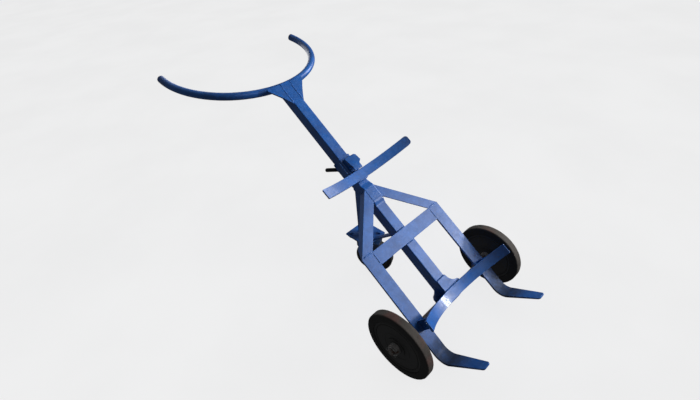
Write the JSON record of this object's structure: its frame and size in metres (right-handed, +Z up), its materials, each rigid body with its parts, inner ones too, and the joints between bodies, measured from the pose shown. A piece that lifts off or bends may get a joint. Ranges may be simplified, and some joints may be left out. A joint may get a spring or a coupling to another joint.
{
  "type": "hand truck",
  "caption": "Drum hand truck: leaning square mast with bowed handlebar, forked toe, curved drum saddle and rest bar, sliding chime hook, fixed wheels and a swivel caster.",
  "frame": {"origin": "on the floor, below the middle of the whole truck's box", "axes": "+Z up, toes point to -Y, the mast leans back towards +Y, +X across the truck along the axle"},
  "size_m": [0.671, 1.4016, 0.7903],
  "materials": {
    "blue_paint": "worn gloss enamel",
    "end_plug": "matte",
    "axle_steel": "dull, lightly rusted",
    "fastener": "zinc plated, worn",
    "hub_steel": "dull",
    "caster_metal": "painted, worn",
    "caster_core": "matte",
    "caster_tyre": "matte",
    "tyre": "dusty matte",
    "wheel_disc": "matte",
    "bush": "satin",
    "clamp_black": "black oxide"
  },
  "bodies": {
    "frame": {"mast_tube": "blue_paint", "handlebar": "blue_paint", "handle_end_plugs": "end_plug", "handle_gussets": "blue_paint", "left_diagonal": "blue_paint", "right_diagonal": "blue_paint", "cross_bar": "blue_paint", "left_rail": "blue_paint", "right_rail": "blue_paint", "drum_saddle": "blue_paint", "saddle_gusset": "blue_paint", "axle_gusset": "blue_paint", "left_saddle_web": "blue_paint", "right_saddle_web": "blue_paint", "rest_bar_spacer": "blue_paint", "drum_rest_bar": "blue_paint", "axle": "axle_steel", "left_axle_lug": "blue_paint", "right_axle_lug": "blue_paint", "axle_spacers": "axle_steel", "axle_washers": "fastener", "cotter_pins": "fastener", "caster_post": "blue_paint", "caster_brace": "blue_paint", "caster_mount_plate": "blue_paint", "caster_top_plate": "caster_metal", "plate_bolts": "fastener", "plate_nuts": "fastener", "swivel_upper_race": "caster_metal", "kingpin": "fastener", "kingpin_nut": "fastener"},
    "caster_swivel": {"swivel_balls": "fastener", "swivel_lower_race": "caster_metal", "caster_fork": "caster_metal", "caster_axle_bolt": "fastener", "caster_axle_nut": "fastener", "caster_sleeve": "fastener"},
    "caster_wheel": {"caster_core": "caster_core", "caster_tyre": "caster_tyre"},
    "left_wheel": {"left_tyre": "tyre", "left_wheel_disc": "wheel_disc", "left_hub": "hub_steel", "left_bush": "bush"},
    "right_wheel": {"right_tyre": "tyre", "right_wheel_disc": "wheel_disc", "right_hub": "hub_steel", "right_bush": "bush"},
    "hook_collar": {"slide_collar": "blue_paint", "chime_hook": "blue_paint", "clamp_boss": "blue_paint"},
    "clamp": {"clamp_screw": "clamp_black", "clamp_handle": "clamp_black"}
  },
  "joints": [
    {"name": "left_wheel_spin", "type": "hinge", "parent": "frame", "child": "left_wheel", "pos_m": [-0.27, -0.4506, 0.125], "axis": [1, 0, 0], "continuous": true},
    {"name": "right_wheel_spin", "type": "hinge", "parent": "frame", "child": "right_wheel", "pos_m": [0.27, -0.4506, 0.125], "axis": [1, 0, 0], "continuous": true},
    {"name": "caster_turn", "type": "hinge", "parent": "frame", "child": "caster_swivel", "pos_m": [0, -0.0496, 0.16], "axis": [0, 0, 1], "continuous": true},
    {"name": "caster_spin", "type": "hinge", "parent": "caster_swivel", "child": "caster_wheel", "pos_m": [0.01479, -0.08132, 0.077], "axis": [0.9063, 0.4226, 0], "continuous": true},
    {"name": "hook_slide", "type": "slide", "parent": "frame", "child": "hook_collar", "axis": [0, 0.8039, 0.5948], "range_m": [-0.008, 0.265]},
    {"name": "clamp_turn", "type": "hinge", "parent": "hook_collar", "child": "clamp", "pos_m": [0, 0.05655, 0.45673], "axis": [0, 0.5948, -0.8039], "range_deg": [0, 180]}
  ]
}
